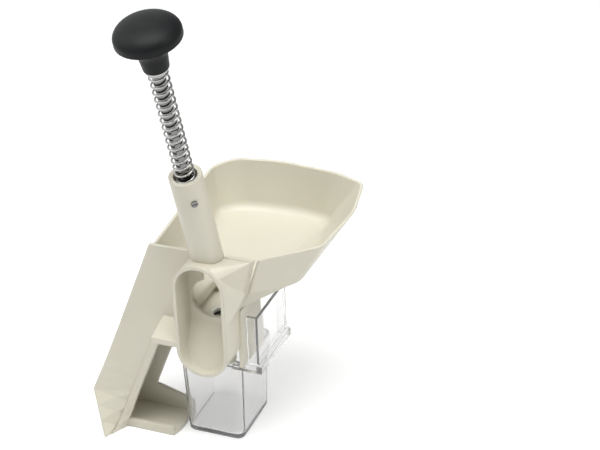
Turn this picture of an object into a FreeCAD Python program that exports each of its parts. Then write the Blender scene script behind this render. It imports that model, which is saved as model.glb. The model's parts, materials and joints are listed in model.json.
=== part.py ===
import FreeCAD, Part

import math
import os

from FreeCAD import Vector, Rotation, Placement

# Cherry pitter with a sprung plunger, a hopper, a front chute and a clear stone container.
# Millimetres. X runs along the front wall, Y runs away from the user, Z is up.
# While building, zero is the near corner of the base. ORIGIN then moves to zero at the end.

# Walls and clearances
WALL = 2.4            # moulded cream walls
FIT = 0.3             # gap between pieces that are put together loosely
RUNNING = 0.08        # radial gap of a sliding fit
SKIRT_WALL = 2.0      # clear container and guard walls
PRESS = 0.05          # radial gap of a pressed fit
BEYOND = 200.0        # longer than any piece, for the shapes that cut

# Front wall and leg
RIM_HEIGHT = 140.5    # hopper rim at the front, over the table
RIM_RISE = 0.13       # the rim climbs to the back by this share
RIM_LEFT = 27.0
RIM_RIGHT = 95.0
KNEE_X = -19.0
KNEE_HEIGHT = 28.7
KNEE_OUT = 5.0        # how far the knee stands forward of the front wall
TOE_X = -7.6
TOE_OUT = 16.3        # the toe flares forward by this much
FLARE_TOP = 80.0      # height where the flare starts
FLARE_MIDDLE = 52.0
FLARE_START = 1.2     # forward reach at the middle height
LEG_WIDTH = 30.0      # along X, level
LEG_DEPTH = 28.0      # from the front face to the back face of the leg
BAND_WIDTH = 5.0      # raised band on the leg's right edge
BAND_PROUD = 0.9
LEDGE_TOP = 91.5
LEDGE_DROP = 5.0      # the ledge slopes down to the front by this much
LEDGE_THICK = 4.0
BASE_LENGTH = 36.0
BASE_CORNER = (2.0, 8.0)    # cut off the base's near right corner
BASE_FLOOR = 3.0
NEAR_RAIL = 6.5
FAR_RAIL = 11.6
FAR_RAIL_LEFT = 19.0  # the far rail climbs to this height at the leg
FAR_EXTRA = 3.4       # the far leg wall is wider than the near one by this much
WEB_THICK = 3.0       # wall along the leg's left edge
WEB_TOP = 112.0
REAR_STEP = 12.0      # the far wall's top drops by this much at the chamber
LEG_SLICES = 3        # slices between two stations of the leg

# Chute
CHUTE_X = 66.4
CHUTE_HALF = 14.4     # inside half width
CHUTE_TOP = 139.4     # inside top of the arch
CHUTE_BOTTOM = 67.0   # inside bottom
CHUTE_PROUD = 18.0    # chute mouth in front of the front wall
CHUTE_WALL = 2.2
FLANK_X = 90.0        # the front wall's right edge at the height of the tray's floor
CHUTE_SLIDE = 27.0    # rise of the sloped slide at the back of the chute
FAIRING_LOW = 100.0   # the fairing beside the chute starts at this height
FAIRING_INSET = 0.8   # the chute's lip stands out of the fairing by this much
FAIRING_SLICES = 12   # flat facets round the arch
FAIRING_TURN = 7      # after so many facets they point to the tray's corner
SLIDE_LIP = 4.0       # level part in front of the slide

# Plunger axis
AXIS_X = 66.6
AXIS_Z = 133.4        # height where the axis crosses the front face
LEAN_SIDE = 1.9       # degrees to the left
LEAN_FRONT = 15.8     # degrees to the front
STROKE = 48.0

# Barrel, along the axis
BARREL_OD = 19.6
BARREL_TOP = 71.5
BARREL_LOW = -30.0    # the chute and the hopper trim it from here up
BARREL_SKIRT = 8.0    # it reaches this far below the rim, in front of the wall
SPRING_BORE = 14.0
GUIDE_BORE = 11.0
SPRING_SEAT = 63.0
BUSH_LENGTH = 18.0
LOW_BUSH_BOTTOM = 8.0
LOW_BUSH_LENGTH = 14.0
STRIPPER_THICK = 2.0
STRIPPER_GAP = 0.5
SEAT_WASHER_THICK = 1.0
SCREW_AT = 57.5
SCREW_TURN = 37.0     # degrees from the barrel's front to its right
SCREW_SHANK = 3.0
SCREW_HEAD = 4.0
SCREW_HEAD_THICK = 1.2
SCREW_SINK = 0.2      # the head sits this deep in the barrel
SCREW_SLOT = 0.6
SCREW_SLOT_DEPTH = 0.5

# Plunger
ROD_OD = 7.6
ROD_BORE = 4.0
EXPOSED = 75.3        # from the barrel's top to the knob's neck
GROOVE_WIDTH = 3.4
GROOVE_DEPTH = 1.2
TIP_OD = 6.4
TIP_REST = 1.0        # lowest point of the tip at rest
TIP_BLADES = 15.0
TIP_BODY = 5.0
SPIGOT = 9.0
BLADE_THICK = 1.3
PIN_OD = 2.0
KNOB_RADIUS = 19.0
KNOB_NECK_LOW = 7.2
KNOB_NECK_TOP = 8.3
KNOB_NECK = 11.6
KNOB_UNDER = 18.4
KNOB_WIDEST = 21.6
KNOB_TOP = 31.4
KNOB_RIM_ROUND = 1.4
KNOB_FLARE = 2.2      # the neck widens by this much on its way to the rim
KNOB_FLARE_DROP = 2.6 # below the rim's lower edge
KNOB_RIM_DROP = 0.8
ROD_IN_KNOB = 16.0
STUD_ABOVE = 6.0      # the stud stands this far above the rod
STUD_LOW = 2.0

# Spring
SPRING_OD = 11.8
SPRING_WIRE = 1.2
SPRING_TURNS = 18
TOP_WASHER_THICK = 1.2
TOP_WASHER_OD = 12.8
CLOSED_GAP = 0.6      # between the closed end coils

# Chamber
HOLE_RADIUS = 13.0
HOLE_HEIGHT = 110.0
CHAMBER_DEPTH = 38.0
CHAMBER_LEFT = 50.4
CHAMBER_RIGHT = 84.4
CHAMBER_BOTTOM = 62.0
CHAMBER_TOP = 103.0
CHAMBER_ROUND = 9.0
SHELF_TOP = 94.0
SHELF_THICK = 4.0
STONE_HOLE = 11.0
SEAT_OD = 15.0
GASKET_THICK = 1.5
SEAT_THICK = 2.0
GASKET_HOLE = 10.0
STONE_TUBE_OD = 15.0
STONE_TUBE_WALL = 1.8
STONE_TUBE_LOW = 60.0

# Hopper
HOPPER_WALL = 2.2
TRAY_FLOOR = 118.0
HOPPER_BACK = 107.0
HOPPER_HIGH = 165.0   # the walls are built to here, then trimmed to the rim
THROAT_ABOVE = 5.0    # the throat ends this far above the shelf
HOPPER_RIM = ((28.5, 0.0), (95.0, 0.0), (129.9, 25.9), (136.9, 64.7),
              (132.4, 95.0), (112.0, 102.7), (71.0, HOPPER_BACK), (39.5, 102.3), (29.0, 88.5))
TRAY_PLAN = ((30.5, 0.0), (89.0, 0.0), (116.0, 22.0), (113.0, 62.0),
             (110.0, 95.0), (104.0, 101.0), (75.0, 104.0), (44.0, 100.5), (31.0, 87.0))
THROAT = ((53.2, 0.0), (81.6, 0.0), (81.6, 12.0), (81.6, 24.0),
          (81.6, 31.0), (77.4, 35.6), (67.0, 35.6), (57.4, 35.6), (53.2, 31.0))

# Stone container
BIN_LEFT = 37.6
BIN_RIGHT = 79.6
BIN_FRONT = 8.0
BIN_BACK = 57.0
BIN_DRAFT = 1.6
BIN_ROUND = 5.0
BIN_FLOOR = 2.4
BIN_TRAVEL = 60.0

# Splash guard
GUARD_LIP_LEFT = 75.0
GUARD_RIGHT = 92.0
GUARD_FRONT = 9.0
GUARD_BACK = 56.0
GUARD_LOW = 57.0
GUARD_TOP = 95.0
GUARD_FLANGE = 3.0
FLANGE_HEIGHT = 5.0
BIN_HEIGHT = GUARD_LOW - FIT

# Housing screws
SCREW_OD = 3.0
SCREW_HEAD_OD = 5.6
SCREW_LENGTH = 8.0
PAN_HEIGHT = 1.8
RECESS_LENGTH = 3.4
RECESS_WIDTH = 0.7
RECESS_DEPTH = 0.8
BOSS_RADIUS = 3.5
BOSS_INSIDE = 1.2     # a boss begins this deep in the near wall
# Each screw: how far right of the leg's left edge, and its height
SCREW_SPOTS = ((9.0, 100.0), (34.0, 95.0), (9.0, 40.0), (22.0, 64.0))

tilt = Vector(-math.tan(math.radians(LEAN_SIDE)), -math.tan(math.radians(LEAN_FRONT)), 1.0)
tilt.normalize()
AXIS_POINT = Vector(AXIS_X, 0.0, AXIS_Z)
AXIS_PLACE = Placement(AXIS_POINT, Rotation(Vector(0, 0, 1), tilt))


def along_axis(distance):
    return AXIS_POINT + tilt * distance


# The frame's origin: the middle of the whole object's outline, on the table
knob_front = along_axis(BARREL_TOP + EXPOSED + KNOB_WIDEST).y - KNOB_RADIUS * math.sqrt(1 - tilt.y ** 2)
ORIGIN = Vector((KNEE_X + max(x for x, y in HOPPER_RIM)) / 2, (knob_front + HOPPER_BACK) / 2, 0)


def on_axis(shape):
    """Move a shape built about the Z axis to the plunger's axis."""
    moved = shape.copy()
    moved.Placement = AXIS_PLACE.multiply(moved.Placement)
    return moved


def cylinder(radius, low, high):
    return Part.makeCylinder(radius, high - low, Vector(0, 0, low))


def tube(outer, inner, low, high):
    return cylinder(outer / 2, low, high).cut(cylinder(inner / 2, low - 1, high + 1))


def box(x0, x1, y0, y1, z0, z1):
    return Part.makeBox(x1 - x0, y1 - y0, z1 - z0, Vector(x0, y0, z0))


def wall_prism(outline, y0, y1):
    """A wall parallel to the front face, from its outline in X and Z."""
    points = [Vector(x, y0, z) for x, z in outline]
    face = Part.Face(Part.makePolygon(points + [points[0]]))
    return face.extrude(Vector(0, y1 - y0, 0))


def ruled(sections):
    """A solid through closed polygons with straight sides."""
    wires = [Part.makePolygon(list(points) + [points[0]]) for points in sections]
    return Part.makeLoft(wires, True, True)


def plan(points, height, offset=0.0):
    """A flat polygon at a height, moved in towards its middle by an offset."""
    face = Part.Face(Part.makePolygon([Vector(x, y, height) for x, y in points + points[:1]]))
    if offset:
        wire = face.OuterWire.makeOffset2D(-offset, 2)
        return [vertex.Point for vertex in wire.OrderedVertexes]
    return [Vector(x, y, height) for x, y in points]


def stadium(half, low, high, y0, y1):
    """A tall slot shape with round ends, along Y."""
    middle = box(CHUTE_X - half, CHUTE_X + half, y0, y1, low + half, high - half)
    ends = [Part.makeCylinder(half, y1 - y0, Vector(CHUTE_X, y0, z), Vector(0, 1, 0))
            for z in (low + half, high - half)]
    return middle.fuse(ends).removeSplitter()


def leg_left(z):
    """The leg's left edge: straight from the rim down to the knee."""
    return RIM_LEFT + (KNEE_X - RIM_LEFT) * (RIM_HEIGHT - z) / (RIM_HEIGHT - KNEE_HEIGHT)


def leg_right(z):
    """The leg's right edge, which bends at the knee's height to end at the base's corner."""
    if z < KNEE_HEIGHT:
        return (KNEE_X + LEG_WIDTH) * z / KNEE_HEIGHT
    return leg_left(z) + LEG_WIDTH


# Height, left edge and forward reach of the leg where its near wall changes direction
LEG_STATIONS = ((WEB_TOP, leg_left(WEB_TOP), 0.0), (FLARE_TOP, leg_left(FLARE_TOP), 0.0),
                (FLARE_MIDDLE, leg_left(FLARE_MIDDLE), FLARE_START),
                (KNEE_HEIGHT, KNEE_X, KNEE_OUT), (0.0, TOE_X, TOE_OUT))


def flat_faced(rings):
    """A solid from flat polygons that close round it."""
    faces = [Part.Face(Part.makePolygon(list(ring) + [ring[0]])) for ring in rings]
    shell = Part.makeShell(faces)
    shell.sewShape()
    solid = Part.makeSolid(shell)
    solid.fixTolerance(1e-6)
    if solid.Volume < 0:
        solid.reverse()
    return solid


def flat_sided(sections):
    """A solid through closed polygons, each twisted side split into four flat triangles."""
    faces = []
    for lower, upper in zip(sections, sections[1:]):
        for i, corner in enumerate(lower):
            following = (i + 1) % len(lower)
            a, b, c, d = corner, lower[following], upper[following], upper[i]
            twisted = abs((b - a).cross(c - a).dot(d - a)) > 1e-6
            middle = (a + b + c + d) * 0.25
            quarters = ((a, b, middle), (b, c, middle), (c, d, middle), (d, a, middle))
            rings = quarters if twisted else ((a, b, c, d),)
            faces += rings
    return flat_faced(faces + [sections[0], sections[-1]])


# Front shell: front wall, chute, ledge, near leg, web and base
CHUTE_OUTER = CHUTE_HALF + CHUTE_WALL
LEFT_FLANK = CHUTE_X - CHUTE_OUTER
RIGHT_FLANK = CHUTE_X + CHUTE_OUTER
LEDGE_LOW = LEDGE_TOP - LEDGE_DROP - LEDGE_THICK
FAR_FACE = LEG_DEPTH - WALL


def leg_section(z, left, out):
    """The near wall and the web in one outline: the wall's left edge stands forward by out."""
    right = leg_right(z)
    corner = left + WEB_THICK
    behind = WALL - out * (right - corner) / (right - left)
    return [Vector(left, -out, z), Vector(right, 0, z), Vector(right, WALL, z),
            Vector(corner, behind, z), Vector(corner, FAR_FACE, z), Vector(left, FAR_FACE, z)]


def leg_shell():
    """The leg's near wall, flat above and flaring forward to its toe, with the web behind it."""
    sections = []
    for upper, lower in zip(LEG_STATIONS, LEG_STATIONS[1:]):
        for i in range(LEG_SLICES):
            share = i / LEG_SLICES
            sections.append(leg_section(*[u + (v - u) * share for u, v in zip(upper, lower)]))
    sections.append(leg_section(*LEG_STATIONS[-1]))
    return flat_sided(sections)


def band_section(z, left, out):
    """The band's outline at a height: it follows the near wall's slant, a little forward of it."""
    right = leg_right(z)
    slant = out * BAND_WIDTH / (right - left)
    return [Vector(right - BAND_WIDTH, -slant - BAND_PROUD, z), Vector(right, -BAND_PROUD, z),
            Vector(right, WALL / 2, z), Vector(right - BAND_WIDTH, WALL / 2 - slant, z)]


def leg_band():
    """The raised band along the leg's right edge, from the ledge down to the base."""
    high = LEDGE_LOW + LEDGE_THICK / 2
    sections = [band_section(high, leg_left(high), 0.0)]
    for upper, lower in zip(LEG_STATIONS[1:], LEG_STATIONS[2:]):
        for i in range(LEG_SLICES):
            share = i / LEG_SLICES
            sections.append(band_section(*[u + (v - u) * share for u, v in zip(upper, lower)]))
    sections.append(band_section(*LEG_STATIONS[-1]))
    return flat_sided(sections)


front_outline = [(RIM_LEFT, RIM_HEIGHT), (RIM_RIGHT, RIM_HEIGHT), (FLANK_X, TRAY_FLOOR),
                 (RIGHT_FLANK, CHAMBER_TOP), (RIGHT_FLANK, CHUTE_BOTTOM + CHUTE_HALF), (LEFT_FLANK, CHUTE_BOTTOM + CHUTE_HALF),
                 (LEFT_FLANK, LEDGE_LOW), (leg_right(LEDGE_LOW), LEDGE_LOW),
                 (leg_right(FLARE_TOP), FLARE_TOP), (leg_left(FLARE_TOP), FLARE_TOP)]
front_wall = wall_prism(front_outline, 0, WALL)

chute_solid = stadium(CHUTE_OUTER, CHUTE_BOTTOM - CHUTE_WALL, CHUTE_TOP + CHUTE_WALL, -CHUTE_PROUD, WALL)
chute_space = stadium(CHUTE_HALF, CHUTE_BOTTOM, CHUTE_TOP, -CHUTE_PROUD - 1, 0)
slide_front = SLIDE_LIP - CHUTE_PROUD
slide_profile = [Vector(0, 0, CHUTE_BOTTOM - 1), Vector(0, 0, CHUTE_BOTTOM + CHUTE_SLIDE),
                 Vector(0, slide_front, CHUTE_BOTTOM), Vector(0, slide_front, CHUTE_BOTTOM - 1)]
slide_face = Part.Face(Part.makePolygon(slide_profile + slide_profile[:1]))
slide = slide_face.extrude(Vector(2 * CHUTE_OUTER, 0, 0))
slide.translate(Vector(LEFT_FLANK, 0, 0))
slide = slide.common(stadium(CHUTE_HALF, CHUTE_BOTTOM, CHUTE_TOP, -CHUTE_PROUD, 0))


def chute_fairing():
    """Fills in between the chute's arch and the front wall's right edge, all with flat facets: the
    first ones point to the rim's corner, the others to the edge's bend beside the tray's floor."""
    arch = CHUTE_OUTER - FAIRING_INSET
    middle = CHUTE_TOP - CHUTE_HALF
    near = FAIRING_INSET - CHUTE_PROUD
    back = WALL / 2
    rim = Vector(RIM_RIGHT - FAIRING_INSET, back, RIM_HEIGHT - FAIRING_INSET)
    bend = Vector(FLANK_X - FAIRING_INSET, back, TRAY_FLOOR)
    angles = [math.pi / 2 * (1 - i / FAIRING_SLICES) for i in range(FAIRING_SLICES + 1)]
    lip = [Vector(CHUTE_X + arch * math.cos(a), near, middle + arch * math.sin(a)) for a in angles]
    foot = Vector(CHUTE_X + arch, near, FAIRING_LOW)
    inner_foot = Vector(CHUTE_X, near, FAIRING_LOW)
    back_foot = Vector(CHUTE_X + arch, back, FAIRING_LOW)
    inner_back_foot = Vector(CHUTE_X, back, FAIRING_LOW)
    crown = Vector(CHUTE_X, back, rim.z)
    rings = [(lip[i], lip[i + 1], rim if i < FAIRING_TURN else bend) for i in range(FAIRING_SLICES)]
    rings += [(lip[FAIRING_TURN], bend, rim), (crown, lip[0], rim), (lip[-1], foot, bend),
              (foot, back_foot, bend), tuple(lip) + (foot, inner_foot),
              (crown, rim, bend, back_foot, inner_back_foot), (foot, inner_foot, inner_back_foot, back_foot),
              (lip[0], inner_foot, inner_back_foot, crown)]
    return flat_faced(rings)


ledge_profile = [Vector(0, WALL, LEDGE_TOP), Vector(0, 0, LEDGE_TOP),
                 Vector(0, -CHUTE_PROUD, LEDGE_TOP - LEDGE_DROP), Vector(0, -CHUTE_PROUD, LEDGE_LOW),
                 Vector(0, FAR_FACE, LEDGE_LOW), Vector(0, FAR_FACE, LEDGE_LOW + LEDGE_THICK),
                 Vector(0, WALL, LEDGE_LOW + LEDGE_THICK)]
ledge_left = leg_right(LEDGE_LOW)
ledge_end = CHAMBER_LEFT - FIT
ledge = Part.Face(Part.makePolygon(ledge_profile + ledge_profile[:1]))
ledge = ledge.extrude(Vector(ledge_end - ledge_left, 0, 0))
ledge.translate(Vector(ledge_left, 0, 0))

roof = box(leg_left(LEDGE_LOW) + 1, ledge_end, WALL / 2, FAR_FACE, LEDGE_LOW, LEDGE_LOW + LEDGE_THICK)

cut_x, cut_y = BASE_CORNER
base_outline = [Vector(TOE_X, 0, 0), Vector(BASE_LENGTH - cut_x, 0, 0), Vector(BASE_LENGTH, cut_y, 0),
                Vector(BASE_LENGTH, FAR_FACE, 0), Vector(TOE_X, FAR_FACE, 0)]
base_floor = Part.Face(Part.makePolygon(base_outline + base_outline[:1])).extrude(Vector(0, 0, BASE_FLOOR))
near_rail = box(0, BASE_LENGTH - cut_x, 0, WALL, 0, NEAR_RAIL)

front_shell = front_wall.fuse([chute_solid, chute_fairing(), leg_shell(), leg_band(), ledge, roof, base_floor,
                               near_rail])
front_shell = front_shell.cut(chute_space).fuse(slide)
stone_window = Part.makeCylinder(HOLE_RADIUS, 3 * WALL, Vector(CHUTE_X, -WALL, HOLE_HEIGHT), Vector(0, 1, 0))
rod_way = on_axis(cylinder(GUIDE_BORE / 2, -BEYOND, BEYOND))
rod_slot = rod_way.common(box(0, BEYOND, -BEYOND, BEYOND, HOLE_HEIGHT, BEYOND))
front_shell = front_shell.cut(stone_window).cut(rod_slot).removeSplitter()

# Rear shell: the far leg wall with its rail, and bosses for the screws
rear_right = CHAMBER_LEFT - FIT
rear_outline = [(leg_left(WEB_TOP), WEB_TOP), (rear_right, WEB_TOP - REAR_STEP), (rear_right, LEDGE_LOW),
                (leg_right(LEDGE_LOW) + FAR_EXTRA, LEDGE_LOW),
                (leg_right(FAR_RAIL_LEFT) + FAR_EXTRA, FAR_RAIL_LEFT),
                (BASE_LENGTH, FAR_RAIL), (BASE_LENGTH, 0.0), (TOE_X, 0.0),
                (KNEE_X, KNEE_HEIGHT), (leg_left(FLARE_TOP), FLARE_TOP)]
rear_wall = wall_prism(rear_outline, FAR_FACE, LEG_DEPTH)


def near_face(x, z):
    """Where the near wall's back face is, at a point of the leg."""
    for upper, lower in zip(LEG_STATIONS, LEG_STATIONS[1:]):
        if lower[0] <= z <= upper[0]:
            share = (upper[0] - z) / (upper[0] - lower[0])
            left, out = [u + (v - u) * share for u, v in zip(upper[1:], lower[1:])]
            return WALL - out * (leg_right(z) - x) / (leg_right(z) - left)
    return WALL


def boss(x, z):
    start = near_face(x, z) - BOSS_INSIDE
    return Part.makeCylinder(BOSS_RADIUS, FAR_FACE - start, Vector(x, start, z), Vector(0, 1, 0))


def pilot_hole(x, z):
    start = Vector(x, LEG_DEPTH - SCREW_LENGTH, z)
    return Part.makeCylinder(SCREW_OD / 2, SCREW_LENGTH, start, Vector(0, 1, 0))


screw_spots = [(leg_left(z) + right, z) for right, z in SCREW_SPOTS]
pilots = [pilot_hole(x, z) for x, z in screw_spots]
front_shell = front_shell.fuse([boss(x, z) for x, z in screw_spots]).cut(pilots).removeSplitter()
rear_shell = rear_wall.cut(pilots).removeSplitter()


def pan_screw(x, z):
    head = Part.makeCylinder(SCREW_HEAD_OD / 2, PAN_HEIGHT, Vector(x, LEG_DEPTH, z), Vector(0, 1, 0))
    deep = LEG_DEPTH + PAN_HEIGHT - RECESS_DEPTH
    long = RECESS_LENGTH / 2
    thin = RECESS_WIDTH / 2
    across = box(x - long, x + long, deep, BEYOND, z - thin, z + thin)
    upright = box(x - thin, x + thin, deep, BEYOND, z - long, z + long)
    return pilot_hole(x, z).fuse(head).cut(across).cut(upright)


housing_screws = Part.makeCompound([pan_screw(x, z) for x, z in screw_spots])

# Chamber behind the front wall, with its shelf, stone seat, gasket and stone tube
CHAMBER_BACK = WALL + CHAMBER_DEPTH
seat_point = along_axis((SHELF_TOP - AXIS_Z) / tilt.z)


def rounded_block(x0, x1, y0, y1, z0, z1, radius):
    block = box(x0, x1, y0, y1, z0, z1)
    edges = [e for e in block.Edges
             if abs(e.tangentAt(e.FirstParameter).z) > 0.99 and e.CenterOfMass.y > (y0 + y1) / 2]
    return block.makeFillet(radius, edges)


chamber = rounded_block(CHAMBER_LEFT, CHAMBER_RIGHT, WALL, CHAMBER_BACK, CHAMBER_BOTTOM, CHAMBER_TOP,
                        CHAMBER_ROUND)
hollow = rounded_block(CHAMBER_LEFT + WALL, CHAMBER_RIGHT - WALL, WALL - 1, CHAMBER_BACK - WALL,
                       CHAMBER_BOTTOM - 1, CHAMBER_TOP + 1, CHAMBER_ROUND - WALL)
shelf = rounded_block(CHAMBER_LEFT + WALL, CHAMBER_RIGHT - WALL, WALL, CHAMBER_BACK - WALL,
                      SHELF_TOP - SHELF_THICK, SHELF_TOP, CHAMBER_ROUND - WALL)
chamber = chamber.cut(hollow).fuse(shelf)


def seat_cylinder(radius, low, high):
    return Part.makeCylinder(radius, high - low, Vector(seat_point.x, seat_point.y, low))


seat_low = SHELF_TOP - SEAT_THICK
tube_top = SHELF_TOP - SHELF_THICK
chamber = chamber.cut(seat_cylinder(SEAT_OD / 2, seat_low - GASKET_THICK, SHELF_TOP + 1))
chamber = chamber.cut(seat_cylinder(STONE_HOLE / 2, tube_top - 1, SHELF_TOP)).removeSplitter()
cherry_seat = seat_cylinder(SEAT_OD / 2 - PRESS, seat_low, SHELF_TOP).cut(
    seat_cylinder(STONE_HOLE / 2, seat_low - 1, SHELF_TOP + 1))
seat_gasket = seat_cylinder(SEAT_OD / 2 - PRESS, seat_low - GASKET_THICK, seat_low).cut(
    seat_cylinder(GASKET_HOLE / 2, seat_low - GASKET_THICK - 1, seat_low + 1))
stone_tube = seat_cylinder(STONE_TUBE_OD / 2, STONE_TUBE_LOW, tube_top).cut(
    seat_cylinder(STONE_TUBE_OD / 2 - STONE_TUBE_WALL, STONE_TUBE_LOW - 1, tube_top + 1))

# Barrel and its bushes, on the plunger's axis
barrel = on_axis(tube(BARREL_OD, GUIDE_BORE, BARREL_LOW, BARREL_TOP))
barrel = barrel.cut(on_axis(cylinder(SPRING_BORE / 2, SPRING_SEAT, BARREL_TOP + 1)))
barrel = barrel.cut(chute_solid)
barrel = barrel.cut(box(0, BEYOND, -CHUTE_PROUD, BEYOND, 0, RIM_HEIGHT))
barrel = barrel.cut(box(0, BEYOND, -BEYOND, BEYOND, 0, RIM_HEIGHT - BARREL_SKIRT))
barrel = max(barrel.Solids, key=lambda solid: solid.Volume)

guide_radius = GUIDE_BORE / 2 - RUNNING / 2
rod_radius = ROD_OD / 2
upper_bush = on_axis(tube(2 * guide_radius, ROD_OD + 2 * RUNNING, SPRING_SEAT - BUSH_LENGTH, SPRING_SEAT))
lower_bush = on_axis(tube(2 * guide_radius, ROD_OD + 2 * RUNNING, LOW_BUSH_BOTTOM,
                          LOW_BUSH_BOTTOM + LOW_BUSH_LENGTH))
stripper_ring = on_axis(tube(2 * guide_radius, ROD_OD + 2 * STRIPPER_GAP, LOW_BUSH_BOTTOM - STRIPPER_THICK,
                             LOW_BUSH_BOTTOM))
seat_top = SPRING_SEAT + SEAT_WASHER_THICK
spring_seat = on_axis(tube(SPRING_BORE - 2 * FIT, ROD_OD + 2 * FIT, SPRING_SEAT, seat_top))


def at_screw(shape):
    """Turn a shape built at the barrel's front to the stop screw's side, then move it to the axis."""
    moved = shape.copy()
    moved.rotate(Vector(0, 0, 0), Vector(0, 0, 1), SCREW_TURN)
    return on_axis(moved)


screw_axis = Vector(0, -1, 0)
screw_low = ROD_OD / 2 - GROOVE_DEPTH + FIT
stop_shank = Part.makeCylinder(SCREW_SHANK / 2, BARREL_OD / 2 - screw_low, Vector(0, -screw_low, SCREW_AT),
                               screw_axis)
head_start = SCREW_SINK - BARREL_OD / 2
stop_head = Part.makeCylinder(SCREW_HEAD / 2, SCREW_HEAD_THICK, Vector(0, head_start, SCREW_AT), screw_axis)
slot_front = head_start - SCREW_HEAD_THICK
stop_slot = box(-SCREW_HEAD, SCREW_HEAD, -BEYOND, slot_front + SCREW_SLOT_DEPTH,
                SCREW_AT - SCREW_SLOT / 2, SCREW_AT + SCREW_SLOT / 2)
stop_screw = at_screw(stop_shank.fuse(stop_head).cut(stop_slot))
screw_hole = at_screw(Part.makeCylinder(SCREW_SHANK / 2, BARREL_OD, Vector(0, 0, SCREW_AT), screw_axis))
head_hole = at_screw(Part.makeCylinder(SCREW_HEAD / 2, BARREL_OD, Vector(0, head_start, SCREW_AT), screw_axis))
barrel = barrel.cut(screw_hole).cut(head_hole)
upper_bush = upper_bush.cut(screw_hole)

# Plunger: rod, tip, pin, washer, knob and stud
neck = BARREL_TOP + EXPOSED
rod_low = TIP_REST + TIP_BLADES + TIP_BODY
rod_local = tube(ROD_OD, ROD_BORE, rod_low, neck + ROD_IN_KNOB)
groove = Part.makeBox(GROOVE_WIDTH, GROOVE_DEPTH + 1, STROKE + SCREW_SHANK + 2 * FIT,
                      Vector(-GROOVE_WIDTH / 2, -ROD_OD / 2 - 1, SCREW_AT - SCREW_SHANK / 2 - FIT))
pin_height = rod_low + SPIGOT / 2
pin_local = Part.makeCylinder(PIN_OD / 2, ROD_OD, Vector(-ROD_OD / 2, 0, pin_height), Vector(1, 0, 0))
tip_pin = on_axis(pin_local.common(cylinder(ROD_OD / 2, 0, neck)))
groove.rotate(Vector(0, 0, 0), Vector(0, 0, 1), SCREW_TURN)
plunger_rod = on_axis(rod_local.cut(groove).cut(pin_local))

blade = Part.makeBox(TIP_OD, BLADE_THICK, TIP_BLADES, Vector(-TIP_OD / 2, -BLADE_THICK / 2, TIP_REST))
blade = blade.common(cylinder(TIP_OD / 2, TIP_REST, TIP_REST + TIP_BLADES))
other_blade = blade.copy()
other_blade.rotate(Vector(0, 0, 0), Vector(0, 0, 1), 90)
tip_local = cylinder(TIP_OD / 2, TIP_REST + TIP_BLADES, rod_low).fuse(
    [blade, other_blade, cylinder(ROD_BORE / 2 - PRESS, rod_low, rod_low + SPIGOT)]).cut(pin_local)
pitting_tip = on_axis(tip_local.removeSplitter())

top_washer = on_axis(tube(TOP_WASHER_OD, ROD_OD + 2 * PRESS, neck - TOP_WASHER_THICK, neck))


def knob_profile():
    def v(radius, height):
        return Vector(radius, 0, neck + height)

    dome_rise = KNOB_TOP - KNOB_WIDEST
    dome_radius = (KNOB_RADIUS ** 2 + dome_rise ** 2) / (2 * dome_rise)
    half_turn = math.asin(KNOB_RADIUS / dome_radius) / 2
    dome_mid = v(dome_radius * math.sin(half_turn), KNOB_TOP - dome_radius * (1 - math.cos(half_turn)))
    rim_out = v(KNOB_RADIUS, KNOB_WIDEST)
    rim_low = v(KNOB_RADIUS - KNOB_RIM_ROUND, KNOB_UNDER)
    rim_mid = v(KNOB_RADIUS - KNOB_RIM_ROUND / 3, (KNOB_UNDER + KNOB_WIDEST) / 2 - KNOB_RIM_DROP)
    flare = v(KNOB_NECK_TOP + KNOB_FLARE, KNOB_UNDER - KNOB_FLARE_DROP)
    edges = [Part.LineSegment(v(0, 0), v(KNOB_NECK_LOW, 0)).toShape(),
             Part.LineSegment(v(KNOB_NECK_LOW, 0), v(KNOB_NECK_TOP, KNOB_NECK)).toShape(),
             Part.Arc(v(KNOB_NECK_TOP, KNOB_NECK), flare, rim_low).toShape(),
             Part.Arc(rim_low, rim_mid, rim_out).toShape(),
             Part.Arc(rim_out, dome_mid, v(0, KNOB_TOP)).toShape(),
             Part.LineSegment(v(0, KNOB_TOP), v(0, 0)).toShape()]
    return Part.Face(Part.Wire(edges))


knob_local = knob_profile().revolve(Vector(0, 0, 0), Vector(0, 0, 1), 360)
knob_local = knob_local.cut(cylinder(ROD_OD / 2 + PRESS, neck - 1, neck + ROD_IN_KNOB))
stud_top = neck + ROD_IN_KNOB + STUD_ABOVE
knob_local = knob_local.cut(cylinder(ROD_BORE / 2, neck, stud_top))
knob = on_axis(knob_local)
knob_stud = on_axis(cylinder(ROD_BORE / 2 - PRESS, neck + STUD_LOW, stud_top))

# Spring: one unbroken wire in a helix with closed end coils
spring_low = seat_top + SPRING_WIRE / 2
spring_high = neck - TOP_WASHER_THICK - SPRING_WIRE / 2
closed_pitch = SPRING_WIRE + CLOSED_GAP
coil_radius = (SPRING_OD - SPRING_WIRE) / 2
open_pitch = (spring_high - spring_low - 2 * closed_pitch) / (SPRING_TURNS - 2)


def spring_height(turn):
    """Height of the wire's middle after so many turns; the end coils lie close."""
    end = max(0.0, min(1.0, turn)) + max(0.0, turn - (SPRING_TURNS - 1))
    middle = max(0.0, min(turn, SPRING_TURNS - 1) - 1)
    return spring_low + end * closed_pitch + middle * open_pitch


def spring_point(turn):
    angle = 2 * math.pi * turn
    return Vector(coil_radius * math.cos(angle), coil_radius * math.sin(angle), spring_height(turn))


def spring_tangent(turn):
    angle = 2 * math.pi * turn
    rise = (spring_height(turn + 0.125) - spring_height(turn - 0.125)) / 0.25
    if turn < 0.2 or turn > SPRING_TURNS - 0.2:
        rise = closed_pitch
    around = 2 * math.pi * coil_radius
    way = Vector(-around * math.sin(angle), around * math.cos(angle), rise)
    way.normalize()
    return way


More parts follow.
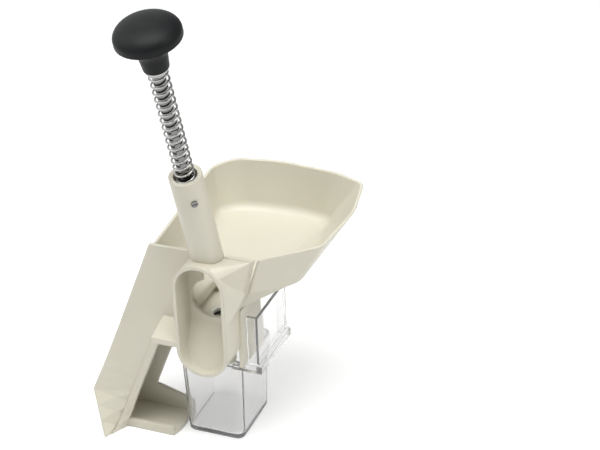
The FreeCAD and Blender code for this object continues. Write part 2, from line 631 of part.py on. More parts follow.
def arc_from_corner(start, corner, end):
    """The arc that leaves start towards corner and reaches end from corner."""
    middle = (start + end) * 0.5
    toward = corner - middle
    rise = toward.Length
    half = (end - start).Length / 2
    radius = (corner - start).Length * half / rise
    sagitta = radius - math.sqrt(radius * radius - half * half)
    return Part.Arc(start, middle + toward * (sagitta / rise), end).toShape()


def biarc(start, leave, end, arrive):
    """Two tangent arcs between two points with given directions."""
    gap = end - start
    both = leave + arrive
    spread = 2 * (1 - leave.dot(arrive))
    reach = (-gap.dot(both) + math.sqrt(gap.dot(both) ** 2 + spread * gap.dot(gap))) / spread
    first = start + leave * reach
    second = end - arrive * reach
    joint = (first + second) * 0.5
    return [arc_from_corner(start, first, joint), arc_from_corner(joint, second, end)]


def spring_wire():
    edges = []
    quarters = SPRING_TURNS * 4
    for i in range(quarters):
        a = i / 4
        b = (i + 1) / 4
        edges += biarc(spring_point(a), spring_tangent(a), spring_point(b), spring_tangent(b))
    return Part.Wire(edges)


spring_path = spring_wire()
spring_section = Part.Wire(Part.makeCircle(SPRING_WIRE / 2, spring_point(0), spring_tangent(0)))
spring = on_axis(spring_path.makePipeShell([spring_section], True, False))
spring_points = [spring_point(i / 48) for i in range(SPRING_TURNS * 48 + 1)]
spring_gap = min((p - q).Length for i, p in enumerate(spring_points[::4])
                 for q in spring_points[i * 4 + 24:i * 4 + 80]) - SPRING_WIRE
print("spring least gap to itself", round(spring_gap, 3), "mm")
print("spring volume", round(spring.Volume, 1), "section by length",
      round(math.pi * SPRING_WIRE ** 2 / 4 * spring_path.Length, 1))

# Hopper: a wide tray over a sloped floor that narrows to the throat


def raised(rim, tray):
    """Carry a wall's line from the tray floor through the rim, up to the trimming height."""
    share = (HOPPER_HIGH - TRAY_FLOOR) / (RIM_HEIGHT + RIM_RISE * rim[1] - TRAY_FLOOR)
    return tray[0] + (rim[0] - tray[0]) * share, tray[1] + (rim[1] - tray[1]) * share


hopper_high = [raised(rim, tray) for rim, tray in zip(HOPPER_RIM, TRAY_PLAN)]


def funnel(offset, lift, throat_low):
    levels = ((hopper_high, HOPPER_HIGH), (TRAY_PLAN, TRAY_FLOOR + lift), (THROAT, CHAMBER_TOP + lift),
              (THROAT, throat_low))
    sections = [plan(list(points), z, offset) for points, z in levels]
    parts = [ruled(sections[i:i + 2]) for i in range(len(sections) - 1)]
    return parts[0].fuse(parts[1:])


throat_low = SHELF_TOP + THROAT_ABOVE
hopper = funnel(0.0, 0.0, throat_low).cut(funnel(HOPPER_WALL, HOPPER_WALL, throat_low - 1))
rim_slope = Part.makeBox(2 * BEYOND, 2 * BEYOND, BEYOND / 2, Vector(-BEYOND / 2, -BEYOND / 2, 0))
rim_slope.rotate(Vector(0, 0, 0), Vector(1, 0, 0), math.degrees(math.atan(RIM_RISE)))
rim_slope.translate(Vector(0, 0, RIM_HEIGHT))
hopper = hopper.cut(rim_slope)
hopper = hopper.cut(box(-BEYOND, BEYOND, -BEYOND, WALL, 0, BEYOND)).removeSplitter()

# Stone container
def tapered_box(x0, x1, y0, y1, z0, z1, inset, radius):
    """An upright box that narrows downwards, with round upright edges."""
    levels = []
    for z, d in ((z1, 0.0), (z0, inset)):
        block = box(x0 + d, x1 - d, y0 + d, y1 - d, 0, 1)
        upright = [e for e in block.Edges if abs(e.tangentAt(e.FirstParameter).z) > 0.99]
        rounded = block.makeFillet(radius, upright)
        floor = [f for f in rounded.Faces if f.normalAt(0, 0).z < -0.99][0]
        wire = floor.OuterWire
        wire.translate(Vector(0, 0, z))
        levels.append(wire)
    return Part.makeLoft(levels, True, True)


stone_container = tapered_box(BIN_LEFT, BIN_RIGHT, BIN_FRONT, BIN_BACK, 0, BIN_HEIGHT, BIN_DRAFT, BIN_ROUND)
bin_space = tapered_box(BIN_LEFT + SKIRT_WALL, BIN_RIGHT - SKIRT_WALL, BIN_FRONT + SKIRT_WALL,
                        BIN_BACK - SKIRT_WALL, BIN_FLOOR, BIN_HEIGHT + 0.01, BIN_DRAFT,
                        BIN_ROUND - SKIRT_WALL)
stone_container = stone_container.cut(bin_space)

# Splash guard
guard_left = CHAMBER_RIGHT + FIT
guard_outer = box(guard_left, GUARD_RIGHT, GUARD_FRONT, GUARD_BACK, GUARD_LOW, GUARD_TOP)
guard_inner = box(guard_left - 1, GUARD_RIGHT - SKIRT_WALL, GUARD_FRONT + SKIRT_WALL,
                  GUARD_BACK - SKIRT_WALL, GUARD_LOW - 1, GUARD_TOP + 1)
guard_flange = box(guard_left, GUARD_RIGHT + GUARD_FLANGE, GUARD_FRONT - GUARD_FLANGE,
                   GUARD_BACK, GUARD_LOW, GUARD_LOW + FLANGE_HEIGHT)
guard_lip = box(GUARD_LIP_LEFT, guard_left + 1, GUARD_FRONT - GUARD_FLANGE, GUARD_FRONT + SKIRT_WALL,
                GUARD_LOW, STONE_TUBE_LOW)
splash_guard = guard_outer.fuse([guard_flange, guard_lip]).cut(guard_inner).removeSplitter()

nodes = {
    "front_shell": front_shell, "rear_shell": rear_shell, "housing_screws": housing_screws,
    "pitting_chamber": chamber, "cherry_seat": cherry_seat, "seat_gasket": seat_gasket,
    "stone_tube": stone_tube, "guide_barrel": barrel, "upper_bush": upper_bush,
    "lower_bush": lower_bush, "stripper_ring": stripper_ring, "spring_seat_washer": spring_seat,
    "stop_screw": stop_screw, "plunger_rod": plunger_rod, "pitting_tip": pitting_tip,
    "tip_pin": tip_pin, "spring_top_washer": top_washer, "knob": knob, "knob_stud": knob_stud,
    "spring": spring, "hopper": hopper, "stone_container": stone_container,
    "splash_guard": splash_guard,
}

os.makedirs("parts", exist_ok=True)
whole = FreeCAD.BoundBox()
for name, shape in nodes.items():
    placed = shape.copy()
    placed.translate(ORIGIN * -1)
    assert placed.isValid(), name
    placed.exportStep("parts/" + name + ".step")
    whole.add(placed.BoundBox)
    print(name, len(placed.Solids), round(placed.Volume / 1000, 2), "cm3")
print("box", whole)
print("axis point", AXIS_POINT - ORIGIN, "down", tilt * -1)
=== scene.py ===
import json
import math

import bpy
import numpy as np
from mathutils import Matrix, Vector


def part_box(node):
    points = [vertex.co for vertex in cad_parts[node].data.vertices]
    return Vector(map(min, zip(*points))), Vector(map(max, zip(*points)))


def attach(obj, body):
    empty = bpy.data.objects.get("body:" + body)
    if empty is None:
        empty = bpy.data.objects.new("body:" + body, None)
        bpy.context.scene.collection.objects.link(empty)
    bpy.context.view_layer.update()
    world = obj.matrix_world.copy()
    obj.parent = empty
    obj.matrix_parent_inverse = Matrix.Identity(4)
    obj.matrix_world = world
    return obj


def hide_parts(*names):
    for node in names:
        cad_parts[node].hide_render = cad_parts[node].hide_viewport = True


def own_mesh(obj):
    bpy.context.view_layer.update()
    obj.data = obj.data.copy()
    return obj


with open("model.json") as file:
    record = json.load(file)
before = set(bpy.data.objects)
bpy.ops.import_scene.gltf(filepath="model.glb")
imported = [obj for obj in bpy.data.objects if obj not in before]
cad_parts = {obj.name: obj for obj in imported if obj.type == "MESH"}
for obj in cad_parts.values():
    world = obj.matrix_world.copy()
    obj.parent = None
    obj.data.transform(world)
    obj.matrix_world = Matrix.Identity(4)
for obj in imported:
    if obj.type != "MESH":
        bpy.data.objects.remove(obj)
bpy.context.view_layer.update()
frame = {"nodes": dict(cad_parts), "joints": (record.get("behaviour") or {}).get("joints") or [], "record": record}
nodes = frame["nodes"]
mm = 0.001
print("frame loaded:", len(nodes), "nodes")


def unit(v):
    v = np.asarray(v, float)
    return v / np.linalg.norm(v)


# Each corner of a line becomes a circular arc that touches both of its sides, `steps` points long.
# The corners may be whole rows of points, which are then rounded side by side. Short sides shrink the radius.
def rounded(corners, radii, steps=8, closed=True):
    pts = np.asarray(corners, float)
    spread = (len(pts),) + (1,) * (pts.ndim - 1)
    r = np.broadcast_to(np.asarray(radii, float), (len(pts),)).reshape(spread)
    toBefore = np.roll(pts, 1, axis=0) - pts
    toAfter = np.roll(pts, -1, axis=0) - pts
    lengthBefore = np.maximum(np.linalg.norm(toBefore, axis=-1, keepdims=True), 1e-9)
    lengthAfter = np.maximum(np.linalg.norm(toAfter, axis=-1, keepdims=True), 1e-9)
    toBefore, toAfter = toBefore / lengthBefore, toAfter / lengthAfter
    half = np.arccos(np.clip((toBefore * toAfter).sum(axis=-1, keepdims=True), -1, 1)) / 2
    half = np.clip(half, 0.02, math.pi / 2 - 0.002)
    reach = np.minimum(r / np.tan(half), 0.48 * np.minimum(lengthBefore, lengthAfter))
    if not closed:
        reach[[0, -1]] = 0.0
    start, end = pts + toBefore * reach, pts + toAfter * reach
    # a point of the arc is its two ends and the corner, weighted as a conic weights them
    t = np.linspace(0, 1, steps).reshape((1, steps) + (1,) * (pts.ndim - 1))
    a, b, c = (1 - t) ** 2, 2 * t * (1 - t) * np.sin(half)[:, None], t ** 2
    arcs = (a * start[:, None] + b * pts[:, None] + c * end[:, None]) / (a + b + c)
    return arcs.reshape((-1,) + pts.shape[1:])


# Quads between neighbouring rows of a grid; a pole closes an end with a fan of triangles.
def gridFaces(rows, columns, wrapRows=False, startPole=False, endPole=False, wrapColumns=True):
    i = np.arange(rows if wrapRows else rows - 1)
    j = np.arange(columns if wrapColumns else columns - 1)
    a = i[:, None] * columns + j
    b = i[:, None] * columns + (j + 1) % columns
    c = (i[:, None] + 1) % rows * columns + (j + 1) % columns
    d = (i[:, None] + 1) % rows * columns + j
    faces = np.stack([a, b, c, d], axis=-1).reshape(-1, 4).tolist()
    pole = rows * columns
    if startPole:
        faces += np.stack([np.full(columns, pole), (j + 1) % columns, j], axis=-1).tolist()
        pole += 1
    if endPole:
        last = (rows - 1) * columns
        faces += np.stack([np.full(columns, pole), last + j, last + (j + 1) % columns], axis=-1).tolist()
    if not wrapColumns:     # the open ends of a profile that was carried along a line
        faces.append((np.arange(rows) * columns).tolist())
        faces.append((np.arange(rows) * columns + columns - 1).tolist())
    return faces


# A mesh from points and faces, turned outwards by the sign of the volume that it encloses.
def addPiece(name, points, faces, material, body, replaced, slotName, sharpAngle=40):
    mesh = bpy.data.meshes.new(name)
    mesh.from_pydata(np.asarray(points, float).tolist(), [], faces)
    mesh.calc_loop_triangles()
    corners = np.empty(len(mesh.loop_triangles) * 3, dtype=np.int32)
    mesh.loop_triangles.foreach_get("vertices", corners)
    p = np.asarray(points, float)[corners].reshape(-1, 3, 3)
    if (p[:, 0] * np.cross(p[:, 1], p[:, 2])).sum() < 0:
        mesh.flip_normals()
    mesh.validate()
    mesh.shade_smooth()
    mesh.set_sharp_from_angle(angle=math.radians(sharpAngle))
    piece = bpy.data.objects.new(name, mesh)
    bpy.context.scene.collection.objects.link(piece)
    mesh.materials.append(material)
    weighted = piece.modifiers.new("flatFacesFirst", "WEIGHTED_NORMAL")
    weighted.weight = 90     # large faces lead, so flat walls stay flat beside their rounded edges
    weighted.keep_sharp = True
    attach(piece, body)
    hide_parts(*replaced)
    print("made", name, len(mesh.polygons), "faces")
    return piece


# The plunger's axis: up along the slide joint, through the middle of the lower bush.
pressJoint = next(j for j in frame["joints"] if j["name"] == "plunger_press")
axisUp = -unit(pressJoint["axis"])
axisSide = unit(np.cross([0.0, 1.0, 0.0], axisUp))
axisFront = np.cross(axisUp, axisSide)
bushBox = np.array([list(c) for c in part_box("lower_bush")])
bushMiddle = 15.0 * mm     # the bush's middle, along the axis from its zero
axisZero = bushBox.mean(axis=0) - axisUp * bushMiddle


# A profile of radius and height turned about the plunger's axis.
def turned(profile, sides):
    angle = np.linspace(0, 2 * math.pi, sides, endpoint=False)
    around = np.cos(angle)[:, None] * axisSide + np.sin(angle)[:, None] * axisFront
    return axisZero + profile[:, 1, None, None] * axisUp + profile[:, 0, None, None] * around[None]


def addTurned(name, profile, material, body, sides, **more):
    profile = profile * mm
    onAxis = profile[:, 0] < 1e-9
    rows = turned(profile[~onAxis], sides)
    poles = [axisZero + profile[i, 1] * axisUp for i in (0, -1) if onAxis[i]]
    points = np.concatenate([rows.reshape(-1, 3)] + [np.array([p]) for p in poles])
    faces = gridFaces(len(rows), sides, wrapRows=not onAxis.any(),
                      startPole=bool(onAxis[0]), endPole=bool(onAxis[-1]))
    return addPiece(name, points, faces, material, body, **more)


def newGroup(name, inputs, outputs):
    group = bpy.data.node_groups.new(name, "ShaderNodeTree")
    for label, kind, value in inputs:
        socket = group.interface.new_socket(label, in_out="INPUT", socket_type=kind)
        socket.default_value = value
    for label, kind in outputs:
        group.interface.new_socket(label, in_out="OUTPUT", socket_type=kind)
    return group, group.nodes.new("NodeGroupInput"), group.nodes.new("NodeGroupOutput")


def node(tree, kind, **values):
    made = tree.nodes.new(kind)
    for key, value in values.items():
        if key.startswith("in_"):
            made.inputs[key[3:].replace("_", " ")].default_value = value
        else:
            setattr(made, key, value)
    return made


def mathNode(tree, operation, a, b, clamp=False):
    made = node(tree, "ShaderNodeMath", operation=operation, use_clamp=clamp)
    for socket, value in zip(made.inputs, (a, b)):
        if isinstance(value, (int, float)):
            socket.default_value = value
        else:
            tree.links.new(value, socket)
    return made.outputs[0]


def mixColour(tree, factor, a, b):
    made = node(tree, "ShaderNodeMix", data_type="RGBA")
    for socket, value in ((made.inputs[0], factor), (made.inputs[6], a), (made.inputs[7], b)):
        if isinstance(value, (int, float, tuple)):
            socket.default_value = value
        else:
            tree.links.new(value, socket)
    return made.outputs[2]


# Fine grain of a moulded surface: two noises, one for the bump's height and one for slow colour drift.
def makeGrainGroup():
    group, given, out = newGroup("mouldedGrain",
                                 [("Fine Scale", "NodeSocketFloat", 1500.0),
                                  ("Slow Scale", "NodeSocketFloat", 25.0)],
                                 [("Height", "NodeSocketFloat"), ("Drift", "NodeSocketFloat")])
    place = node(group, "ShaderNodeTexCoord")
    for scale, detail, label in (("Fine Scale", 3.0, "Height"), ("Slow Scale", 4.0, "Drift")):
        noise = node(group, "ShaderNodeTexNoise", in_Detail=detail, in_Roughness=0.6)
        group.links.new(place.outputs["Object"], noise.inputs["Vector"])
        group.links.new(given.outputs[scale], noise.inputs["Scale"])
        group.links.new(noise.outputs["Fac"], out.inputs[label])
    return group


# Rounded edges: the normal of a small bevel, and how far it turns from the face, which marks edges for wear.
def makeEdgeGroup():
    group, given, out = newGroup("softEdges", [("Radius", "NodeSocketFloat", 0.0006)],
                                 [("Normal", "NodeSocketVector"), ("Edge", "NodeSocketFloat")])
    bevel = node(group, "ShaderNodeBevel", samples=6)
    shape = node(group, "ShaderNodeNewGeometry")
    turnedBy = node(group, "ShaderNodeVectorMath", operation="DOT_PRODUCT")
    group.links.new(given.outputs["Radius"], bevel.inputs["Radius"])
    group.links.new(bevel.outputs["Normal"], turnedBy.inputs[0])
    group.links.new(shape.outputs["Normal"], turnedBy.inputs[1])
    away = mathNode(group, "SUBTRACT", 1.0, turnedBy.outputs["Value"])
    edge = mathNode(group, "MULTIPLY", away, 4.0, clamp=True)
    group.links.new(bevel.outputs["Normal"], out.inputs["Normal"])
    group.links.new(edge, out.inputs["Edge"])
    return group


# Dust lies on faces that look up, in soft patches.
def makeDustGroup():
    group, given, out = newGroup("dustFilm",
                                 [("Amount", "NodeSocketFloat", 0.3), ("Patch Scale", "NodeSocketFloat", 60.0)],
                                 [("Dust", "NodeSocketFloat")])
    place = node(group, "ShaderNodeTexCoord")
    noise = node(group, "ShaderNodeTexNoise", in_Detail=6.0, in_Roughness=0.7)
    shape = node(group, "ShaderNodeNewGeometry")
    split = node(group, "ShaderNodeSeparateXYZ")
    group.links.new(place.outputs["Object"], noise.inputs["Vector"])
    group.links.new(given.outputs["Patch Scale"], noise.inputs["Scale"])
    group.links.new(shape.outputs["Normal"], split.inputs[0])
    up = mathNode(group, "POWER", mathNode(group, "MAXIMUM", split.outputs["Z"], 0.0), 2.0)
    patch = mathNode(group, "SUBTRACT", noise.outputs["Fac"], 0.35, clamp=True)
    film = mathNode(group, "MULTIPLY", up, patch)
    amount = mathNode(group, "MULTIPLY", film, given.outputs["Amount"], clamp=True)
    group.links.new(amount, out.inputs["Dust"])
    return group


grainGroup = makeGrainGroup()
edgeGroup = makeEdgeGroup()
dustGroup = makeDustGroup()


def placed(tree, group, **values):
    made = node(tree, "ShaderNodeGroup", node_tree=group)
    for key, value in values.items():
        made.inputs[key.replace("_", " ")].default_value = value
    return made


dustLook = dict(colour=(0.62, 0.60, 0.56), patchesPerDrift=3)
grainDepth = 0.05 * mm


# One recipe for every finish: grain for the bump, drift and edge wear for the colour, dust on top.
def makeFinish(name, look):
    material = bpy.data.materials.new(name)
    material.use_nodes = True
    tree = material.node_tree
    shader = tree.nodes["Principled BSDF"]
    grain = placed(tree, grainGroup, Fine_Scale=look["grain"], Slow_Scale=look["drift"])
    edge = placed(tree, edgeGroup, Radius=look["edge"])
    dust = placed(tree, dustGroup, Amount=look["dust"], Patch_Scale=look["drift"] * dustLook["patchesPerDrift"])
    base = mixColour(tree, grain.outputs["Drift"], (*look["colourLow"], 1.0), (*look["colour"], 1.0))
    wear = mathNode(tree, "MULTIPLY", edge.outputs["Edge"], look["wear"])
    base = mixColour(tree, wear, base, (*look["wearColour"], 1.0))
    base = mixColour(tree, dust.outputs["Dust"], base, (*dustLook["colour"], 1.0))
    tree.links.new(base, shader.inputs["Base Color"])
    rough = node(tree, "ShaderNodeMapRange", in_To_Min=look["rough"][0], in_To_Max=look["rough"][1])
    tree.links.new(grain.outputs["Drift"], rough.inputs["Value"])
    tree.links.new(rough.outputs["Result"], shader.inputs["Roughness"])
    bump = node(tree, "ShaderNodeBump", in_Strength=look["bump"], in_Distance=grainDepth)
    tree.links.new(grain.outputs["Height"], bump.inputs["Height"])
    tree.links.new(edge.outputs["Normal"], bump.inputs["Normal"])
    tree.links.new(bump.outputs["Normal"], shader.inputs["Normal"])
    for label, value in look.get("plain", {}).items():
        shader.inputs[label].default_value = value
    return material


looks = {
    "creamMoulding": dict(
        colour=(0.665, 0.64, 0.54), colourLow=(0.61, 0.58, 0.47), wearColour=(0.75, 0.73, 0.64),
        wear=0.35, rough=(0.30, 0.42), grain=1400.0, drift=22.0, bump=0.25, edge=0.0009, dust=0.15),
    "creamBush": dict(
        colour=(0.74, 0.73, 0.68), colourLow=(0.68, 0.67, 0.61), wearColour=(0.8, 0.8, 0.75),
        wear=0.3, rough=(0.4, 0.5), grain=1800.0, drift=60.0, bump=0.2, edge=0.0003, dust=0.0),
    "charcoalPlastic": dict(
        colour=(0.0075, 0.0088, 0.0092), colourLow=(0.005, 0.0058, 0.0062), wearColour=(0.035, 0.036, 0.038),
        wear=0.4, rough=(0.40, 0.52), grain=1600.0, drift=50.0, bump=0.35, edge=0.0004, dust=0.02,
        plain={"IOR": 1.45, "Specular IOR Level": 0.20}),
    # the rod's base colour is darkened to paint the shade it lies in between the spring's coils
    "rodSteelPaintedShade": dict(
        colour=(0.24, 0.24, 0.24), colourLow=(0.16, 0.16, 0.16), wearColour=(0.8, 0.8, 0.8),
        wear=0.3, rough=(0.10, 0.18), grain=2500.0, drift=90.0, bump=0.10, edge=0.0002, dust=0.0,
        plain={"Metallic": 1.0}),
    "brightSteel": dict(
        colour=(0.48, 0.48, 0.47), colourLow=(0.38, 0.38, 0.37), wearColour=(0.6, 0.6, 0.6),
        wear=0.3, rough=(0.16, 0.26), grain=2500.0, drift=90.0, bump=0.10, edge=0.0002, dust=0.0,
        plain={"Metallic": 1.0}),
    "platedSteel": dict(
        colour=(0.24, 0.24, 0.23), colourLow=(0.17, 0.17, 0.165), wearColour=(0.4, 0.4, 0.4),
        wear=0.4, rough=(0.26, 0.38), grain=2500.0, drift=120.0, bump=0.2, edge=0.0002, dust=0.0,
        plain={"Metallic": 1.0}),
    "seatRubber": dict(
        colour=(0.05, 0.05, 0.05), colourLow=(0.035, 0.035, 0.035), wearColour=(0.1, 0.1, 0.1),
        wear=0.3, rough=(0.6, 0.75), grain=1200.0, drift=80.0, bump=0.4, edge=0.0002, dust=0.1),
    "clearPlastic": dict(
        colour=(0.965, 0.965, 0.965), colourLow=(0.92, 0.92, 0.92), wearColour=(0.98, 0.98, 0.98),
        wear=0.4, rough=(0.04, 0.10), grain=900.0, drift=30.0, bump=0.06, edge=0.0007, dust=0.0,
        plain={"IOR": 1.40, "Transmission Weight": 0.93}),
}
finish = {name: makeFinish(name, look) for name, look in looks.items()}
slotFinish = {"cream_moulding": "creamMoulding", "cream_bush": "creamBush", "bright_steel": "brightSteel",
              "charcoal_plastic": "charcoalPlastic", "plated_steel": "platedSteel",
              "seat_rubber": "seatRubber", "clear_plastic": "clearPlastic"}
for part in frame["record"]["subparts"]:
    target = nodes[part["node"]]
    target.data.materials.clear()
    target.data.materials.append(finish[slotFinish[part["material_slot"]]])
nodes["plunger_rod"].data.materials[0] = finish["rodSteelPaintedShade"]     # base colour darker than the spring's: painted shade, standing for the shadow on the rod between the coils
print("finishes made:", len(finish))

# Heights are over the neck's bottom, which is given along the axis; fullness 2 would be an ellipse.
knobSizes = dict(neckBottom=146.8, neckLow=7.2, neckTop=8.4, neckHeight=11.6, under=18.7, widest=21.5, top=30.4,
                 radius=18.65, rimThick=2.4, rimRound=0.5, rimStep=0.7, neckRound=0.8, sweepRound=7.0,
                 fullness=2.2, seat=3.85, seatDepth=16.0)


def makeKnob(k):
    # neck, hollow sweep under the cap, rim band, dome as a superellipse; then down inside to the rod's seat
    base = k["neckBottom"]
    turn = np.linspace(0.0, math.pi / 2, 40)
    power = 2 / k["fullness"]
    dome = np.stack([k["radius"] * np.cos(turn) ** power,
                     base + k["widest"] + (k["top"] - k["widest"]) * np.sin(turn) ** power], axis=1)
    line = [(k["seat"], base), (k["neckLow"], base), (k["neckTop"], base + k["neckHeight"]),
            (k["radius"] - k["rimStep"], base + k["under"]), (k["radius"], base + k["widest"] - k["rimThick"]),
            (k["radius"], base + k["widest"])]
    rounds = [0, k["neckRound"], k["sweepRound"], k["rimRound"], k["rimRound"], 0]
    under = rounded(line, rounds, steps=12, closed=False)
    dome[-1, 0] = 0.0
    inner = [(0.0, base + k["seatDepth"]), (k["seat"], base + k["seatDepth"])]
    profile = np.concatenate([np.array(inner), under, dome[1:]])
    step = np.linalg.norm(np.diff(profile, axis=0), axis=1)     # drops a point that repeats the one before
    return profile[np.concatenate([[True], step > 1e-4])]


addTurned("knobCap", makeKnob(knobSizes), finish["charcoalPlastic"], "plunger", sides=128,
          replaced=("knob",), slotName="charcoal_plastic", sharpAngle=50)

springSizes = dict(low=64.6, high=145.0, turns=18, endPitch=1.8, coilRadius=5.3, wireRadius=0.62, travel=48.0)


def makeSpring(s, steps=72, sides=12):
    # a circle carried along a helix whose end turns lie close; its pitch is the rate at which height grows
    turn = np.linspace(0, s["turns"], s["turns"] * steps + 1)
    ends = np.clip(turn, 0, 1) + np.clip(turn - (s["turns"] - 1), 0, 1)
    middle = np.clip(turn - 1, 0, s["turns"] - 2)
    openPitch = (s["high"] - s["low"] - 2 * s["endPitch"]) / (s["turns"] - 2)
    height = s["low"] + ends * s["endPitch"] + middle * openPitch
    angle = 2 * math.pi * turn
    out = np.cos(angle)[:, None] * axisSide + np.sin(angle)[:, None] * axisFront
    centre = axisZero + mm * (height[:, None] * axisUp + s["coilRadius"] * out)
    ring = np.linspace(0, 2 * math.pi, sides, endpoint=False)
    section = np.cos(ring)[None, :, None] * out[:, None] + np.sin(ring)[None, :, None] * axisUp
    rows = centre[:, None] + mm * s["wireRadius"] * section
    return rows, centre


springRows, springLine = makeSpring(springSizes)
springPoints = np.concatenate([springRows.reshape(-1, 3), springLine[[0, -1]]])
springFaces = gridFaces(len(springRows), springRows.shape[1], startPole=True, endPole=True)
springPiece = addPiece("returnSpring", springPoints, springFaces, finish["brightSteel"], "body",
                       replaced=("spring",), slotName="bright_steel", sharpAngle=60)
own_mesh(springPiece)

# Sizes in millimetres from the base's near corner, as on the drawing; the frame's origin lies at drawingZero.
drawingZero = np.array([58.95, 21.44423, 0.0])
hopperSizes = dict(
    wall=2.2, rimHeight=140.5, rimRise=0.13, trayFloor=118.0, throatTop=103.0, throatLow=99.0,
    rim=[(98.2, 2.4), (129.9, 25.9), (136.9, 64.7), (132.4, 95.0), (112.0, 102.7), (71.0, 107.0), (39.5, 102.3),
         (29.0, 88.5), (28.5, 2.4)],
    tray=[(91.9, 2.4), (116.0, 22.0), (113.0, 62.0), (110.0, 95.0), (104.0, 101.0), (75.0, 104.0), (44.0, 100.5),
          (31.0, 87.0), (30.5, 2.4)],
    throat=[(81.6, 2.4), (81.6, 12.0), (81.6, 24.0), (81.6, 31.0), (77.4, 35.6), (67.0, 35.6), (57.4, 35.6),
            (53.2, 31.0), (53.2, 2.4)],
    rimRounds=[0, 8, 40, 8, 40, 90, 26, 14, 0], trayRounds=[0, 12, 30, 10, 10, 120, 40, 10, 0],
    throatRounds=[0, 1, 1, 4, 4, 1, 4, 4, 0], edgeRounds=[0.2, 3.0, 5.0, 1.1, 1.1, 7.0, 4.0, 0.2])


# An outline moved in by a distance, square to its own run; its two ends stay on the front wall's line.
def movedIn(outline, distance):
    along = np.gradient(outline, axis=0)
    along /= np.maximum(np.linalg.norm(along, axis=1, keepdims=True), 1e-9)
    inward = np.stack([-along[:, 1], along[:, 0]], axis=1)
    moved = outline + inward * distance
    moved[[0, -1], 1] = outline[[0, -1], 1]
    return moved


def makeHopper(h):
    # three outlines, for rim, tray and throat, joined from outside over the rim to the inside
    steps = 10
    rim, tray, throat = (rounded(h[name], h[name + "Rounds"], steps, closed=False)[steps - 1:-steps + 1]
                         for name in ("rim", "tray", "throat"))

    def level(outline, height):
        z = np.broadcast_to(height, (len(outline),))
        return np.concatenate([outline, z[:, None]], axis=1)

    rimHeight = h["rimHeight"] + h["rimRise"] * rim[:, 1]
    inRim, inTray, inThroat = (movedIn(o, h["wall"]) for o in (rim, tray, throat))
    loop = np.stack([level(throat, h["throatLow"]), level(throat, h["throatTop"]), level(tray, h["trayFloor"]),
                     level(rim, rimHeight), level(inRim, rimHeight), level(inTray, h["trayFloor"] + h["wall"]),
                     level(inThroat, h["throatTop"] + h["wall"]), level(inThroat, h["throatLow"])])
    return rounded(loop, h["edgeRounds"], 7)


hopperRows = (makeHopper(hopperSizes) - drawingZero) * mm
hopperFaces = gridFaces(hopperRows.shape[0], hopperRows.shape[1], wrapRows=True, wrapColumns=False)
addPiece("hopperTray", hopperRows.reshape(-1, 3), hopperFaces, finish["creamMoulding"], "body",
         replaced=("hopper",), slotName="cream_moulding")

containerSizes = dict(left=37.6, right=79.6, front=8.0, back=57.0, height=56.7, draft=1.6, wall=2.0, floor=2.4,
                      cornerRound=5.0, edgeRounds=[0, 1.6, 0.8, 0.8, 2.2, 0])


def makeContainer(c):
    # a rounded rectangle at each level: under the floor, up outside, over the rim, down inside, over the floor
    def outline(inset, height, radius):
        x0, x1 = c["left"] + inset, c["right"] - inset
        y0, y1 = c["front"] + inset, c["back"] - inset
        flat = rounded([(x0, y0), (x1, y0), (x1, y1), (x0, y1)], radius, 10)
        return np.concatenate([flat, np.full((len(flat), 1), height)], axis=1)

    middle = np.array([(c["left"] + c["right"]) / 2, (c["front"] + c["back"]) / 2, 0.0])
    outer, inner = c["cornerRound"], c["cornerRound"] - c["wall"]
    levels = [outline(c["draft"], 0.0, outer), outline(0.0, c["height"], outer),
              outline(c["wall"], c["height"], inner), outline(c["draft"] + c["wall"], c["floor"], inner)]
    low = np.broadcast_to(middle, levels[0].shape)
    high = low + np.array([0.0, 0.0, c["floor"]])
    steps = 7
    rows = rounded(np.stack([low, *levels, high]), c["edgeRounds"], steps, closed=False)[steps:-steps]
    return rows, middle, middle + np.array([0.0, 0.0, c["floor"]])


containerRows, containerLow, containerHigh = makeContainer(containerSizes)
containerPoints = np.concatenate([containerRows.reshape(-1, 3), [containerLow], [containerHigh]])
containerFaces = gridFaces(containerRows.shape[0], containerRows.shape[1], startPole=True, endPole=True)
addPiece("clearContainer", (containerPoints - drawingZero) * mm, containerFaces, finish["clearPlastic"],
         "container", replaced=("stone_container",), slotName="clear_plastic")

floorLook = dict(size=3.0, drop=0.2 * mm, grey=0.86, roughness=0.9, gloss=0.1, lift=0.30)


# A pale matte floor. To the camera, in glass and in reflections it glows a little, so that it reads white.
def paleFloor(f):
    size = f["size"]
    mesh = bpy.data.meshes.new("floor")
    corners = [(-size, -size, 0), (size, -size, 0), (size, size, 0), (-size, size, 0)]
    mesh.from_pydata(corners, [], [(0, 1, 2, 3)])
    floor = bpy.data.objects.new("floor", mesh)
    floor.location = (0, 0, -f["drop"])
    bpy.context.scene.collection.objects.link(floor)
    material = bpy.data.materials.new("paleFloor")
    material.use_nodes = True
    tree = material.node_tree
    shader = tree.nodes["Principled BSDF"]
    shader.inputs["Base Color"].default_value = (f["grey"], f["grey"], f["grey"], 1)
    shader.inputs["Roughness"].default_value = f["roughness"]
    shader.inputs["Specular IOR Level"].default_value = f["gloss"]
    rays = node(tree, "ShaderNodeLightPath")
    indirect = mathNode(tree, "MAXIMUM", rays.outputs["Is Glossy Ray"], rays.outputs["Is Transmission Ray"])
    seen = mathNode(tree, "MAXIMUM", rays.outputs["Is Camera Ray"], indirect)
    lift = mathNode(tree, "MULTIPLY", seen, f["lift"])
    shader.inputs["Emission Color"].default_value = (1, 1, 1, 1)
    tree.links.new(lift, shader.inputs["Emission Strength"])
    mesh.materials.append(material)


# The world lights softly. Camera and glass rays see it white, and reflections see one dark side in it.
worldLook = dict(ambient=0.30, roomLow=0.04, roomHigh=1.0, darkSide=(0.98, 0.20, 0.0),
                 darkFrom=-0.35, darkTo=0.35)


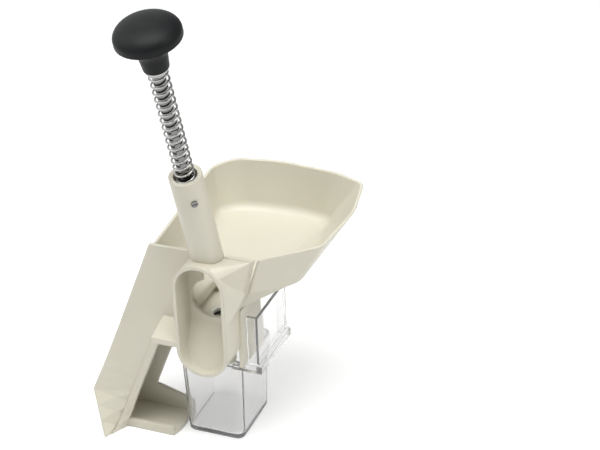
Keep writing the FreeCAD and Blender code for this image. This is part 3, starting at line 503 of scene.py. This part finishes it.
def studioWorld(w):
    world = bpy.data.worlds.new("studio")
    bpy.context.scene.world = world
    world.use_nodes = True
    tree = world.node_tree
    back = tree.nodes["Background"]
    rays = node(tree, "ShaderNodeLightPath")
    way = node(tree, "ShaderNodeTexCoord")
    side = node(tree, "ShaderNodeVectorMath", operation="DOT_PRODUCT")
    tree.links.new(way.outputs["Generated"], side.inputs[0])
    side.inputs[1].default_value = tuple(unit(w["darkSide"]))
    room = node(tree, "ShaderNodeMapRange", interpolation_type="SMOOTHSTEP", in_From_Min=w["darkFrom"],
                in_From_Max=w["darkTo"], in_To_Min=w["roomHigh"], in_To_Max=w["roomLow"])
    tree.links.new(side.outputs["Value"], room.inputs["Value"])
    glossy = mathNode(tree, "MULTIPLY", rays.outputs["Is Glossy Ray"], room.outputs["Result"])
    seen = mathNode(tree, "MAXIMUM", rays.outputs["Is Camera Ray"], rays.outputs["Is Transmission Ray"])
    seen = mathNode(tree, "MAXIMUM", seen, glossy)
    tree.links.new(mathNode(tree, "MAXIMUM", seen, w["ambient"]), back.inputs["Strength"])
    back.inputs["Color"].default_value = (1, 1, 1, 1)


def softLamp(name, spot, aim, size, power):
    lamp = bpy.data.lights.new(name, "AREA")
    lamp.shape = "RECTANGLE"
    lamp.size, lamp.size_y = size
    lamp.energy = power
    holder = bpy.data.objects.new(name, lamp)
    holder.location = spot
    holder.rotation_euler = (Vector(aim) - Vector(spot)).to_track_quat("-Z", "Y").to_euler()
    bpy.context.scene.collection.objects.link(holder)


cameraLook = dict(place=(0.33225, -0.696846, 0.5647), yaw=21.5, pitch=28.5, roll=-1.5, lens=87.0)


def photoCamera(c):
    yaw, pitch, roll = (math.radians(c[k]) for k in ("yaw", "pitch", "roll"))
    right = np.array([math.cos(yaw), math.sin(yaw), 0.0])
    ahead = np.array([-math.sin(yaw) * math.cos(pitch), math.cos(yaw) * math.cos(pitch), -math.sin(pitch)])
    up = np.cross(right, ahead)
    rolledRight = math.cos(roll) * right + math.sin(roll) * up
    rolledUp = -math.sin(roll) * right + math.cos(roll) * up
    data = bpy.data.cameras.new("camera")
    data.lens = c["lens"]
    data.clip_start, data.clip_end = 0.02, 20.0
    camera = bpy.data.objects.new("camera", data)
    turn = Matrix([rolledRight, rolledUp, -ahead]).transposed()
    camera.matrix_world = Matrix.Translation(c["place"]) @ turn.to_4x4()
    bpy.context.scene.collection.objects.link(camera)
    bpy.context.scene.camera = camera


paleFloor(floorLook)
studioWorld(worldLook)
softLamp("leftLamp", (-1.3, -0.5, 1.2), (0, 0, 0.12), (1.0, 1.0), 4.5)
softLamp("rightLamp", (1.3, -0.2, 1.0), (0, 0, 0.12), (0.9, 0.9), 5.5)
softLamp("topLamp", (0.1, -0.4, 1.6), (0, 0, 0.1), (1.4, 1.0), 25.0)
photoCamera(cameraLook)
bpy.context.scene.view_settings.view_transform = "Standard"
print("stage, lamps and camera made")
